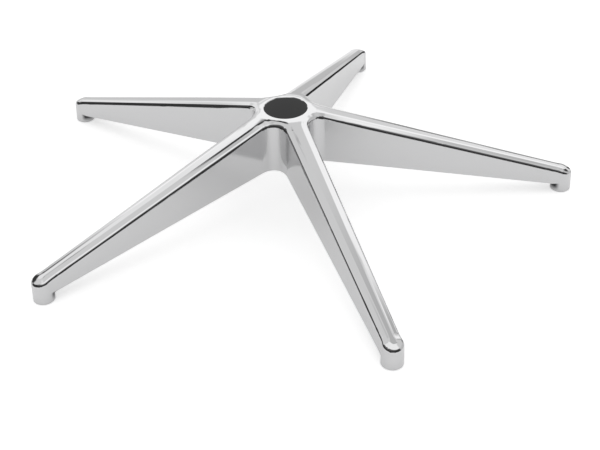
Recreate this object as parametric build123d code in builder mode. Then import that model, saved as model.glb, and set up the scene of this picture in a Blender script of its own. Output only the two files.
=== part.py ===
from build123d import *
from math import atan, cos, degrees, hypot, pi, radians, sin, tan
import os

# Five-star office chair base: one die-cast aluminium star, polished outside, ribbed and hollow underneath.
# Millimetres and degrees. +Z is up. The origin is the centre of the bore's mouth, on the hub's top face.

# Overall
leg_count = 5
base_height = 119.0
socket_circle_radius = 328.0

# Plan outline of the star, measured at the level of the hub's top face
root_station = 60.0
neck_setback = 23.0
leg_half_width_root = 13.4
leg_half_width_neck = 9.45
nose_radius = 10.0
valley_radius = 19.0
neck_blend_radius = 30.0
wall_draft = 1.0

# Side view: the top is level round the bore and falls along each leg; the walls get shallower outward
hub_flat_radius = 28.0
shoulder_radius = 26.0
hub_depth = 62.9
hub_core_radius = 38.0
boss_height = 10.28
leg_taper = 0.143

# Crown along the edges of the top
crown_width = 7.5
crown_drop = 2.0
crown_blend_radius = 10.0
edge_radius = 4.0

# Hollow underside
wall = 4.0
skin = 5.0
rib_thickness = 3.0
rib_count = 5
rib_first_station = 84.0
rib_pitch = 46.0
rib_recess = 9.0

# Gas-lift taper, 1:20 on the diameter
bore_mouth_diameter = 50.0
bore_taper_ratio = 20.0
bore_lead_in = 0.6

# Caster sockets in the five bosses
socket_diameter = 11.0
socket_depth = 21.0
socket_lead_in = 0.6
boss_overlap = 8.0
boss_edge_chamfer = 0.9

# Derived values
draft_rate = tan(radians(wall_draft))
neck_station = socket_circle_radius - neck_setback
side_slope = (leg_half_width_root - leg_half_width_neck) / (neck_station - root_station)
half_width_centre = leg_half_width_root + side_slope * root_station
half_width_end = half_width_centre - side_slope * socket_circle_radius
under_fall = (base_height - boss_height - hub_depth) / (socket_circle_radius - hub_core_radius)
top_fall = under_fall + leg_taper
fall_angle = atan(top_fall)
shoulder_end = hub_flat_radius + shoulder_radius * sin(fall_angle)
shoulder_drop = shoulder_radius * (1 - cos(fall_angle))
outer_reach = socket_circle_radius + nose_radius + base_height * draft_rate
boss_top = boss_height + boss_overlap - base_height
boss_foot_radius = nose_radius + base_height * draft_rate
bore_radius = bore_mouth_diameter / 2
bore_foot_radius = bore_radius - hub_depth / (2 * bore_taper_ratio)


def top_height(radius):
    """Height of the revolved top surface at a distance from the axis."""
    if radius <= hub_flat_radius:
        return 0.0
    if radius <= shoulder_end:
        step = radius - hub_flat_radius
        return (shoulder_radius**2 - step**2) ** 0.5 - shoulder_radius
    return -shoulder_drop - top_fall * (radius - shoulder_end)


def under_height(radius):
    """Height of the revolved underside at a distance from the axis."""
    return -hub_depth - under_fall * max(0.0, radius - hub_core_radius)


def shared(faces, others):
    """Edges at which one group of faces meets another."""
    held = [edge for face in others for edge in face.edges()]
    return ShapeList([edge for face in faces for edge in face.edges() if edge in held])


def lies_on_top(face):
    """True for a face of the revolved top surface."""
    spot = face.position_at(0.5, 0.5)
    return abs(spot.Z - top_height(hypot(spot.X, spot.Y))) < 0.02


def looks_up(face):
    """True for a face of the top, its crown included."""
    return face.normal_at(0.5, 0.5).Z > 0.5


# Plan outline: five tapered legs, each with a round nose, joined by round valleys
with BuildSketch() as star_outline:
    with PolarLocations(0, leg_count):
        Polygon(
            (0, -half_width_centre),
            (socket_circle_radius, -half_width_end),
            (socket_circle_radius, half_width_end),
            (0, half_width_centre),
            align=None,
        )
    with PolarLocations(socket_circle_radius, leg_count):
        Circle(nose_radius)
    corners = star_outline.vertices().sort_by_distance((0, 0, 0))
    fillet(corners[:leg_count], valley_radius)
    necks = star_outline.vertices().filter_by(
        lambda v: socket_circle_radius - 2 * nose_radius < hypot(v.X, v.Y) < socket_circle_radius
    )
    fillet(necks, neck_blend_radius)

# Outline of the hollow, one wall thickness inside the star
with BuildSketch() as hollow_outline:
    add(star_outline.sketch)
    offset(amount=-wall, kind=Kind.ARC)

# Upright plane through the axis and the middle of a valley, where the revolved faces start and end
valley_plane = Plane(
    origin=(0, 0, 0),
    x_dir=(cos(pi / leg_count), sin(pi / leg_count), 0),
    z_dir=(sin(pi / leg_count), -cos(pi / leg_count), 0),
)

# Side section of the star between its top and its underside
with BuildSketch(valley_plane) as star_section:
    with BuildLine():
        level = Line((0, 0), (hub_flat_radius, 0))
        shoulder = CenterArc((hub_flat_radius, -shoulder_radius), shoulder_radius, 90, -degrees(fall_angle))
        fall = Line(shoulder @ 1, (outer_reach, top_height(outer_reach)))
        end = Line(fall @ 1, (outer_reach, under_height(outer_reach)))
        rise = Line(end @ 1, (hub_core_radius, -hub_depth))
        foot = Line(rise @ 1, (0, -hub_depth))
        Line(foot @ 1, level @ 0)
    make_face()

# Side section of the hollow, one skin thickness under the top
with BuildSketch(valley_plane) as hollow_section:
    with BuildLine():
        Polyline(
            (hub_core_radius, top_height(hub_core_radius) - skin),
            (outer_reach, top_height(outer_reach) - skin),
            (outer_reach, -base_height),
            (hub_core_radius, -base_height),
            close=True,
        )
    make_face()

# Side section of the ribs, which stop short of the walls' lower edges
with BuildSketch(valley_plane) as rib_section:
    with BuildLine():
        Polyline(
            (hub_core_radius, 0),
            (outer_reach, 0),
            (outer_reach, under_height(outer_reach) + rib_recess),
            (hub_core_radius, -hub_depth + rib_recess),
            close=True,
        )
    make_face()

# Cross ribs, as a pattern along each leg
with BuildPart() as ribs:
    with PolarLocations(0, leg_count):
        with Locations([(rib_first_station + rib_pitch * n, 0, -base_height / 2) for n in range(rib_count)]):
            Box(rib_thickness, 4 * half_width_centre, 2 * base_height)
    revolve(rib_section.sketch, axis=Axis.Z, mode=Mode.INTERSECT)

# Room inside the legs, from the hub's core to the socket bosses, with the ribs left standing
with BuildPart() as hollow:
    extrude(hollow_outline.sketch, amount=base_height, dir=(0, 0, -1), taper=-wall_draft)
    revolve(hollow_section.sketch, axis=Axis.Z, mode=Mode.INTERSECT)
    with PolarLocations(socket_circle_radius, leg_count):
        Cylinder(
            nose_radius + base_height * draft_rate,
            2 * base_height,
            align=(Align.CENTER, Align.CENTER, Align.MAX),
            mode=Mode.SUBTRACT,
        )
    add(ribs.part, mode=Mode.SUBTRACT)

# One socket boss, with the same draft as the noses and a small chamfer round its foot
with BuildPart() as boss:
    with BuildSketch(Plane.XZ):
        with BuildLine():
            Polyline(
                (0, boss_top),
                (nose_radius - boss_top * draft_rate, boss_top),
                (boss_foot_radius - boss_edge_chamfer * draft_rate, boss_edge_chamfer - base_height),
                (boss_foot_radius - boss_edge_chamfer, -base_height),
                (0, -base_height),
                close=True,
            )
        make_face()
    revolve(axis=Axis.Z)

# Room of one caster socket, with a lead-in at its mouth
with BuildPart() as socket:
    with BuildSketch(Plane.XZ):
        with BuildLine():
            Polyline(
                (0, 0),
                (socket_diameter / 2 + socket_lead_in, 0),
                (socket_diameter / 2, socket_lead_in),
                (socket_diameter / 2, socket_depth),
                (0, socket_depth),
                close=True,
            )
        make_face()
    revolve(axis=Axis.Z)

with BuildPart() as five_star_base:
    extrude(star_outline.sketch, amount=base_height, dir=(0, 0, -1), taper=-wall_draft)
    revolve(star_section.sketch, axis=Axis.Z, mode=Mode.INTERSECT)

    # Crown: a shallow slope along the whole edge of the top, blended inward and rounded outward
    top_faces = five_star_base.faces().filter_by(looks_up)
    side_faces = five_star_base.faces().filter_by(looks_up, reverse=True)
    leg_edge = shared(top_faces, side_faces).sort_by(SortBy.LENGTH)[-1]
    leg_top = top_faces.filter_by(lambda face: leg_edge in face.edges())[0]
    chamfer(leg_edge, length=crown_width, length2=crown_drop, reference=leg_top)
    top_faces = five_star_base.faces().filter_by(looks_up)
    crown_faces = top_faces.filter_by(lies_on_top, reverse=True)
    fillet(shared(top_faces.filter_by(lies_on_top), crown_faces), crown_blend_radius)
    top_faces = five_star_base.faces().filter_by(looks_up)
    side_faces = five_star_base.faces().filter_by(looks_up, reverse=True)
    fillet(shared(top_faces, side_faces), edge_radius)

    # Hollow underside
    add(hollow.part, mode=Mode.SUBTRACT)

    # Socket bosses down to the floor
    with PolarLocations(socket_circle_radius, leg_count):
        add(boss.part)

    # Gas-lift taper through the hub, with a small lead-in at the mouth
    with BuildSketch(Plane.XZ) as bore_section:
        with BuildLine():
            Polyline(
                (0, 0),
                (bore_radius + bore_lead_in, 0),
                (bore_radius, -bore_lead_in),
                (bore_foot_radius, -hub_depth),
                (0, -hub_depth),
                close=True,
            )
        make_face()
    revolve(bore_section.sketch, axis=Axis.Z, mode=Mode.SUBTRACT)

    # Caster sockets, blind from below
    with PolarLocations(socket_circle_radius, leg_count):
        with Locations((0, 0, -base_height)):
            add(socket.part, mode=Mode.SUBTRACT)

print("volume cm3", round(five_star_base.part.volume / 1000, 1))
five_star_base.part.label = "five_star_base"
os.makedirs("parts", exist_ok=True)
export_step(five_star_base.part, "parts/five_star_base.step")
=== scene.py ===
from collections import namedtuple
from math import atan2, cos, hypot, pi, radians, sin, tan

import bpy
from mathutils import Matrix, Vector


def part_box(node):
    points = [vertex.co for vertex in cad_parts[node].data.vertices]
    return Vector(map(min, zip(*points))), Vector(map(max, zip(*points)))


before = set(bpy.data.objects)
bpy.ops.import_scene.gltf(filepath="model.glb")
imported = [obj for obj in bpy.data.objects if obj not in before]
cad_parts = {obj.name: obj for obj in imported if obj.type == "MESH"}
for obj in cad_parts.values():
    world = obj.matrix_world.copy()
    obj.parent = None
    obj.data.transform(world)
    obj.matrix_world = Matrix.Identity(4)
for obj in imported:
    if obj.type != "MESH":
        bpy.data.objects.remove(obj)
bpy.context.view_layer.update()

# Camera, fitted to the photograph: metres and radians, in the frame of the model
LENS_MM = 77.03
SENSOR_MM = 36.0
CAMERA_PLACE = Vector((0.0039, -1.2876, 0.7395))
CAMERA_AIM = Vector((0.0063, 0.8181, -0.5751))
CAMERA_ROLL = 0.0204
CLIP_START = 0.05
CLIP_END = 50.0

# Studio seen in the metal: panels from azimuth left to right and from elevation low to high, in degrees,
# with soft sides and edges. Azimuth 0 is straight behind the base and grows to the right.
# Each panel lies over those above it.
Panel = namedtuple("Panel", "left right side_soft low high edge_soft brightness")
FULL_TURN = (-180, 180)
PANELS = {
    "room glow": Panel(*FULL_TURN, 1, 38, 62, 12, 0.2),
    "overhead": Panel(*FULL_TURN, 1, 77, 95, 3, 1.3),
    "overhead right": Panel(66, 186, 6, 57, 95, 4, 1.3),
    "overhead left": Panel(-186, -60, 6, 57, 95, 4, 1.25),
    "right room": Panel(55, 110, 6, -20, 58, 4, 0.75),
    "sweep": Panel(-75, 55, 6, -91, 9, 3, 0.85),
    "sweep behind": Panel(-32, 48, 3, 4, 14, 4, 0.78),
    "soft box": Panel(-34, 46, 3, 24, 59, 4, 1.4),
    "soft box foot": Panel(-34, 46, 3, 12, 24, 4, 1.2),
    "soft box left": Panel(-52, -30, 3, 36, 50, 3, 1.2),
    "left window": Panel(-84, -46, 4, 34, 62, 4, 0.95),
    "ceiling": Panel(-72, 60, 6, 54, 77, 3, 0.93),
    "ceiling right": Panel(25, 60, 8, 62, 78, 3, 0.68),
    "soft box rim": Panel(-34, -12, 2, 46, 67, 3, 0.08),
    "soft box corner": Panel(41, 47, 1.5, 42.5, 46.5, 1.5, 0.75),
    "right wall": Panel(47, 95, 3, 40, 60, 4, 0.9),
    "low stand": Panel(15, 44, 2, -7, 8, 2, 0.03),
}
ROOM_DARK = 0.05
WORLD_LEVEL = 0.85
BACKGROUND = 1.0

# Floor: its reach, where its lit part ends, and how bright it looks to the camera and in the metal
FLOOR_REACH = 30.0
LIT_FLOOR = (0.6, 1.05)
FAR_FLOOR = 0.66
FLOOR_ALBEDO = 0.85
CAMERA_GLOW = 0.5
MIRROR_GLOW = 0.28

# The casting, in metres, as in the CAD part
LEG_COUNT = 5
SECTOR = 2 * pi / LEG_COUNT
SOCKET_CIRCLE = 0.328
BOSS_RADIUS = 0.012
ROOT_STATION, ROOT_HALF_WIDTH = 0.060, 0.0134
NECK_STATION, NECK_HALF_WIDTH = 0.305, 0.00945
NARROWING = (ROOT_HALF_WIDTH - NECK_HALF_WIDTH) / (NECK_STATION - ROOT_STATION)
WALL_THICKNESS = 0.004
WALL_DRAFT = radians(1.0)
HUB_CORE_RADIUS = 0.038
HUB_DEPTH = 0.0629
UNDER_FALL = 0.158
BORE_RADIUS = 0.025

# Telling the faces apart: room for rounding, and the normal's Z past which a face looks up or down
SLACK = 0.0005
FACING = 0.5

# Colours, linear
ALUMINIUM = (0.62, 0.62, 0.625, 1.0)
CAST_ALUMINIUM = (0.36, 0.36, 0.365, 1.0)
SHADED_ALUMINIUM = (0.035, 0.035, 0.037, 1.0)
# Painted shade: the bore's flat black stands in for the dark look of the hole
BORE_PAINTED_SHADE = (0.03, 0.03, 0.031, 1.0)
WHITE = (1, 1, 1, 1)

# Polished finish: smooth on top, more softly brushed on the walls, which start and end at these normals
TOP_ROUGHNESS = 0.045
WALL_ROUGHNESS = (0.08, 0.24)
WALL_NORMALS = (0.5, 0.1)
BRUSH_SCALE = 28.0
BRUSH_DETAIL = 3.0

# Shade on the hub's side of a boss: where it grows and where it stops, in boss radii inward from the
# socket's axis, how far above the floor it starts, and the share of the boss's height at which it is full
SHADE_GROWS = (0.25, 0.7)
SHADE_STOPS = (1.2, 1.1)
SHADE_FOOT = 0.001
SHADE_FULL = 0.7

# As-cast finish of the hollow, and the faint painted glow on the bore's painted shade
CAST_METALLIC = 0.6
CAST_ROUGHNESS = 0.6
BORE_PAINTED_GLOW = 0.042

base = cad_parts["five_star_base"]
floor_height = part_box("five_star_base")[0].z


def under_height(along):
    """Height of the underside at a distance along a leg."""
    return -HUB_DEPTH - UNDER_FALL * max(0, along - HUB_CORE_RADIUS)


def make_camera():
    """The camera at the photograph's viewing angle."""
    data = bpy.data.cameras.new("camera")
    data.lens = LENS_MM
    data.sensor_width = SENSOR_MM
    data.clip_start = CLIP_START
    data.clip_end = CLIP_END
    camera = bpy.data.objects.new("camera", data)
    bpy.context.scene.collection.objects.link(camera)
    back = -CAMERA_AIM.normalized()
    right = Vector((0, 0, 1)).cross(back).normalized()
    up = back.cross(right)
    turned_right = cos(CAMERA_ROLL) * right - sin(CAMERA_ROLL) * up
    turned_up = sin(CAMERA_ROLL) * right + cos(CAMERA_ROLL) * up
    turn = Matrix((turned_right, turned_up, back)).transposed().to_4x4()
    camera.matrix_world = Matrix.Translation(CAMERA_PLACE) @ turn
    bpy.context.scene.camera = camera


def math_node(tree, operation, *values):
    """A Math node with each input a socket or a number."""
    node = tree.nodes.new("ShaderNodeMath")
    node.operation = operation
    for slot, value in zip(node.inputs, values):
        if isinstance(value, (int, float)):
            slot.default_value = value
        else:
            tree.links.new(value, slot)
    return node.outputs[0]


def step(tree, value, start, end):
    """A smooth step of a socket: 0 at start, 1 at end."""
    node = tree.nodes.new("ShaderNodeMapRange")
    node.interpolation_type = "SMOOTHSTEP"
    node.inputs["From Min"].default_value = start
    node.inputs["From Max"].default_value = end
    tree.links.new(value, node.inputs["Value"])
    return node.outputs["Result"]


def band(tree, value, start, end, soft):
    """1 where a socket lies between start and end and 0 outside, with soft ends."""
    after_start = step(tree, value, start - soft, start + soft)
    before_end = step(tree, value, end + soft, end - soft)
    return math_node(tree, "MULTIPLY", after_start, before_end)


def mixed(tree, factor, first, second, kind="FLOAT"):
    """A Mix node of two numbers, colours or sockets."""
    node = tree.nodes.new("ShaderNodeMix")
    node.data_type = kind
    slots = [slot for slot in node.inputs if slot.enabled]
    for slot, value in zip(slots, (factor, first, second)):
        if isinstance(value, bpy.types.NodeSocket):
            tree.links.new(value, slot)
        else:
            slot.default_value = value
    return [slot for slot in node.outputs if slot.enabled][0]


def axes(tree, output):
    """X, Y and Z of a texture coordinate."""
    place = tree.nodes.new("ShaderNodeTexCoord")
    split = tree.nodes.new("ShaderNodeSeparateXYZ")
    tree.links.new(place.outputs[output], split.inputs[0])
    return split.outputs


def azimuth_of(tree, x, y):
    """Azimuth in degrees of a place or a direction, 0 along +Y and growing to +X."""
    return math_node(tree, "DEGREES", math_node(tree, "ARCTAN2", x, y))


def reach_of(tree, x, y):
    """Distance of a place from the vertical axis."""
    x_squared = math_node(tree, "MULTIPLY", x, x)
    y_squared = math_node(tree, "MULTIPLY", y, y)
    return math_node(tree, "SQRT", math_node(tree, "ADD", x_squared, y_squared))


def along_leg(tree, x, y):
    """Distance of a place from the vertical axis, measured along the nearest leg."""
    angle = math_node(tree, "ARCTAN2", y, x)
    turns = math_node(tree, "ROUND", math_node(tree, "DIVIDE", angle, SECTOR))
    folded = math_node(tree, "SUBTRACT", angle, math_node(tree, "MULTIPLY", turns, SECTOR))
    return math_node(tree, "MULTIPLY", reach_of(tree, x, y), math_node(tree, "COSINE", folded))


def make_world():
    """The studio round the base, made of soft-edged panels and seen only in the metal."""
    world = bpy.data.worlds.new("studio")
    bpy.context.scene.world = world
    world.use_nodes = True
    tree = world.node_tree
    tree.nodes.clear()
    x, y, z = axes(tree, "Generated")
    azimuth = azimuth_of(tree, x, y)
    elevation = math_node(tree, "DEGREES", math_node(tree, "ARCSINE", z))
    level = ROOM_DARK
    for panel in PANELS.values():
        mask = band(tree, elevation, panel.low, panel.high, panel.edge_soft)
        if (panel.left, panel.right) != FULL_TURN:
            sides = band(tree, azimuth, panel.left, panel.right, panel.side_soft)
            mask = math_node(tree, "MULTIPLY", mask, sides)
        level = mixed(tree, mask, level, panel.brightness)
    path = tree.nodes.new("ShaderNodeLightPath")
    level = mixed(tree, path.outputs["Is Glossy Ray"], WORLD_LEVEL, level)
    level = mixed(tree, path.outputs["Is Camera Ray"], level, BACKGROUND)
    sky = tree.nodes.new("ShaderNodeBackground")
    sky.inputs["Color"].default_value = WHITE
    tree.links.new(level, sky.inputs["Strength"])
    out = tree.nodes.new("ShaderNodeOutputWorld")
    tree.links.new(sky.outputs[0], out.inputs[0])


def new_material(name):
    """A material with an empty node tree."""
    material = bpy.data.materials.new(name)
    material.use_nodes = True
    material.node_tree.nodes.clear()
    return material, material.node_tree


def finish_material(tree, shader):
    """Connect a shader to the material's surface."""
    out = tree.nodes.new("ShaderNodeOutputMaterial")
    tree.links.new(shader, out.inputs["Surface"])


def boss_shade(tree):
    """1 where a boss faces the hub right under its leg, and 0 elsewhere."""
    x, y, z = axes(tree, "Object")
    along = along_leg(tree, x, y)
    under_boss = under_height(SOCKET_CIRCLE - BOSS_RADIUS)
    full_height = SHADE_FULL * under_boss + (1 - SHADE_FULL) * floor_height
    masks = [
        step(tree, along, *(SOCKET_CIRCLE - share * BOSS_RADIUS for share in SHADE_GROWS)),
        step(tree, along, *(SOCKET_CIRCLE - share * BOSS_RADIUS for share in SHADE_STOPS)),
        step(tree, z, floor_height + SHADE_FOOT, full_height),
        step(tree, z, under_boss + SLACK, under_boss - SLACK),
    ]
    shade = masks[0]
    for mask in masks[1:]:
        shade = math_node(tree, "MULTIPLY", shade, mask)
    return shade


def make_polished():
    """Polished aluminium, smoother on top than on the walls."""
    material, tree = new_material("polished_aluminium")
    noise = tree.nodes.new("ShaderNodeTexNoise")
    noise.inputs["Scale"].default_value = BRUSH_SCALE
    noise.inputs["Detail"].default_value = BRUSH_DETAIL
    place = tree.nodes.new("ShaderNodeTexCoord")
    tree.links.new(place.outputs["Object"], noise.inputs["Vector"])
    brushed = mixed(tree, noise.outputs["Fac"], *WALL_ROUGHNESS)
    steepness = math_node(tree, "ABSOLUTE", axes(tree, "Normal")[2])
    roughness = mixed(tree, step(tree, steepness, *WALL_NORMALS), TOP_ROUGHNESS, brushed)
    colour = mixed(tree, boss_shade(tree), ALUMINIUM, SHADED_ALUMINIUM, "RGBA")
    shader = tree.nodes.new("ShaderNodeBsdfPrincipled")
    tree.links.new(colour, shader.inputs["Base Color"])
    shader.inputs["Metallic"].default_value = 1.0
    tree.links.new(roughness, shader.inputs["Roughness"])
    finish_material(tree, shader.outputs[0])
    return material


def make_cast():
    """As-cast aluminium of the hollow underside."""
    material, tree = new_material("cast_aluminium")
    shader = tree.nodes.new("ShaderNodeBsdfPrincipled")
    shader.inputs["Base Color"].default_value = CAST_ALUMINIUM
    shader.inputs["Metallic"].default_value = CAST_METALLIC
    shader.inputs["Roughness"].default_value = CAST_ROUGHNESS
    finish_material(tree, shader.outputs[0])
    return material


def make_bore():
    """The inside of the gas-lift bore as painted shade: flat black with no gloss and a faint painted
    glow.
    """
    material, tree = new_material("painted_shade_bore")
    shader = tree.nodes.new("ShaderNodeBsdfPrincipled")
    shader.inputs["Base Color"].default_value = BORE_PAINTED_SHADE
    shader.inputs["Roughness"].default_value = 1.0
    shader.inputs["Specular IOR Level"].default_value = 0.0
    # Painted glow: the bore shines faintly though no lamp lights it
    shader.inputs["Emission Color"].default_value = WHITE
    shader.inputs["Emission Strength"].default_value = BORE_PAINTED_GLOW
    finish_material(tree, shader.outputs[0])
    return material


def leg_place(point):
    """Distance along the nearest leg and distance from its middle plane."""
    angle = atan2(point.y, point.x)
    angle -= SECTOR * round(angle / SECTOR)
    reach = hypot(point.x, point.y)
    return reach * cos(angle), abs(reach * sin(angle))


def lies_in_hollow(polygon):
    """True for a face of the hollow underside, and for any face that looks down."""
    if polygon.normal.z < -FACING:
        return True
    along, across = leg_place(polygon.center)
    half_width = ROOT_HALF_WIDTH - NARROWING * (along - ROOT_STATION) - tan(WALL_DRAFT) * polygon.center.z
    return (
        across < half_width - WALL_THICKNESS / 2
        and polygon.normal.z < FACING
        and HUB_CORE_RADIUS - 2 * SLACK < along < SOCKET_CIRCLE
        and polygon.center.z > under_height(along) - SLACK
    )


def lies_in_bore(polygon):
    """True for a face of the gas-lift bore."""
    return hypot(polygon.center.x, polygon.center.y) < BORE_RADIUS and polygon.normal.z < FACING


def dress_base():
    """Give the casting its polished and as-cast finishes, and the bore its painted shade."""
    base.data.materials.clear()
    for material in (make_polished(), make_cast(), make_bore()):
        base.data.materials.append(material)
    for polygon in base.data.polygons:
        if lies_in_bore(polygon):
            polygon.material_index = 2
        elif lies_in_hollow(polygon):
            polygon.material_index = 1
        else:
            polygon.material_index = 0


def floor_light(tree):
    """How bright the metal sees the floor: lit round the base, then fading into the studio."""
    x, y, _ = axes(tree, "Object")
    azimuth = azimuth_of(tree, x, y)
    far_level = ROOM_DARK
    for name, brightness in (("sweep", FAR_FLOOR), ("low stand", ROOM_DARK)):
        panel = PANELS[name]
        sides = band(tree, azimuth, panel.left, panel.right, panel.side_soft)
        far_level = mixed(tree, sides, far_level, brightness)
    return mixed(tree, step(tree, reach_of(tree, x, y), *LIT_FLOOR), 1.0, far_level)


def make_floor():
    """A plain pale floor that keeps the shadow."""
    mesh = bpy.data.meshes.new("floor")
    signs = ((-1, -1), (1, -1), (1, 1), (-1, 1))
    corners = [(x * FLOOR_REACH, y * FLOOR_REACH, floor_height) for x, y in signs]
    mesh.from_pydata(corners, [], [(0, 1, 2, 3)])
    floor = bpy.data.objects.new("floor", mesh)
    bpy.context.scene.collection.objects.link(floor)
    material, tree = new_material("floor")
    path = tree.nodes.new("ShaderNodeLightPath")
    lit = mixed(tree, path.outputs["Is Glossy Ray"], 1.0, floor_light(tree))
    mirror_glow = math_node(tree, "MULTIPLY", lit, MIRROR_GLOW)
    glow_level = mixed(tree, path.outputs["Is Camera Ray"], mirror_glow, CAMERA_GLOW)
    seen = math_node(tree, "MAXIMUM", path.outputs["Is Camera Ray"], path.outputs["Is Glossy Ray"])
    grey = tree.nodes.new("ShaderNodeCombineColor")
    for channel in grey.inputs:
        tree.links.new(math_node(tree, "MULTIPLY", lit, FLOOR_ALBEDO), channel)
    matte = tree.nodes.new("ShaderNodeBsdfDiffuse")
    tree.links.new(grey.outputs[0], matte.inputs["Color"])
    glow = tree.nodes.new("ShaderNodeEmission")
    tree.links.new(math_node(tree, "MULTIPLY", seen, glow_level), glow.inputs["Strength"])
    both = tree.nodes.new("ShaderNodeAddShader")
    tree.links.new(matte.outputs[0], both.inputs[0])
    tree.links.new(glow.outputs[0], both.inputs[1])
    finish_material(tree, both.outputs[0])
    floor.data.materials.append(material)


make_camera()
make_world()
make_floor()
dress_base()

bpy.context.scene.view_settings.view_transform = "Standard"
